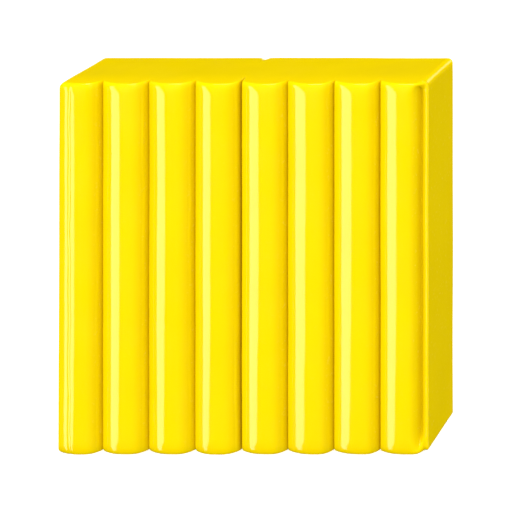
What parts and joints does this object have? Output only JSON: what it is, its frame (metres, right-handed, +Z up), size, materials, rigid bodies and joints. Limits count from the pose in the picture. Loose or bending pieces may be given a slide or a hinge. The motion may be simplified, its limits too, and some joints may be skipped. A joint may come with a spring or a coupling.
{
  "type": "modelling clay block",
  "caption": "Small upright block of modelling clay, ribbed along its front by score lines that divide it into equal portions, with a flat back.",
  "frame": {"origin": "middle of the bounding box's underside, where the block stands", "axes": "+Z up along the ribs, -Y out of the ribbed front, +Y out of the flat back, +X to the right when facing the ribs"},
  "size_m": [0.056, 0.015, 0.0566],
  "materials": {
    "clay": "soft satin modelling clay, smooth and slightly waxy"
  },
  "bodies": {
    "root": {"portion_1": "clay", "portion_2": "clay", "portion_3": "clay", "portion_4": "clay", "portion_5": "clay", "portion_6": "clay", "portion_7": "clay", "portion_8": "clay"}
  },
  "joints": []
}
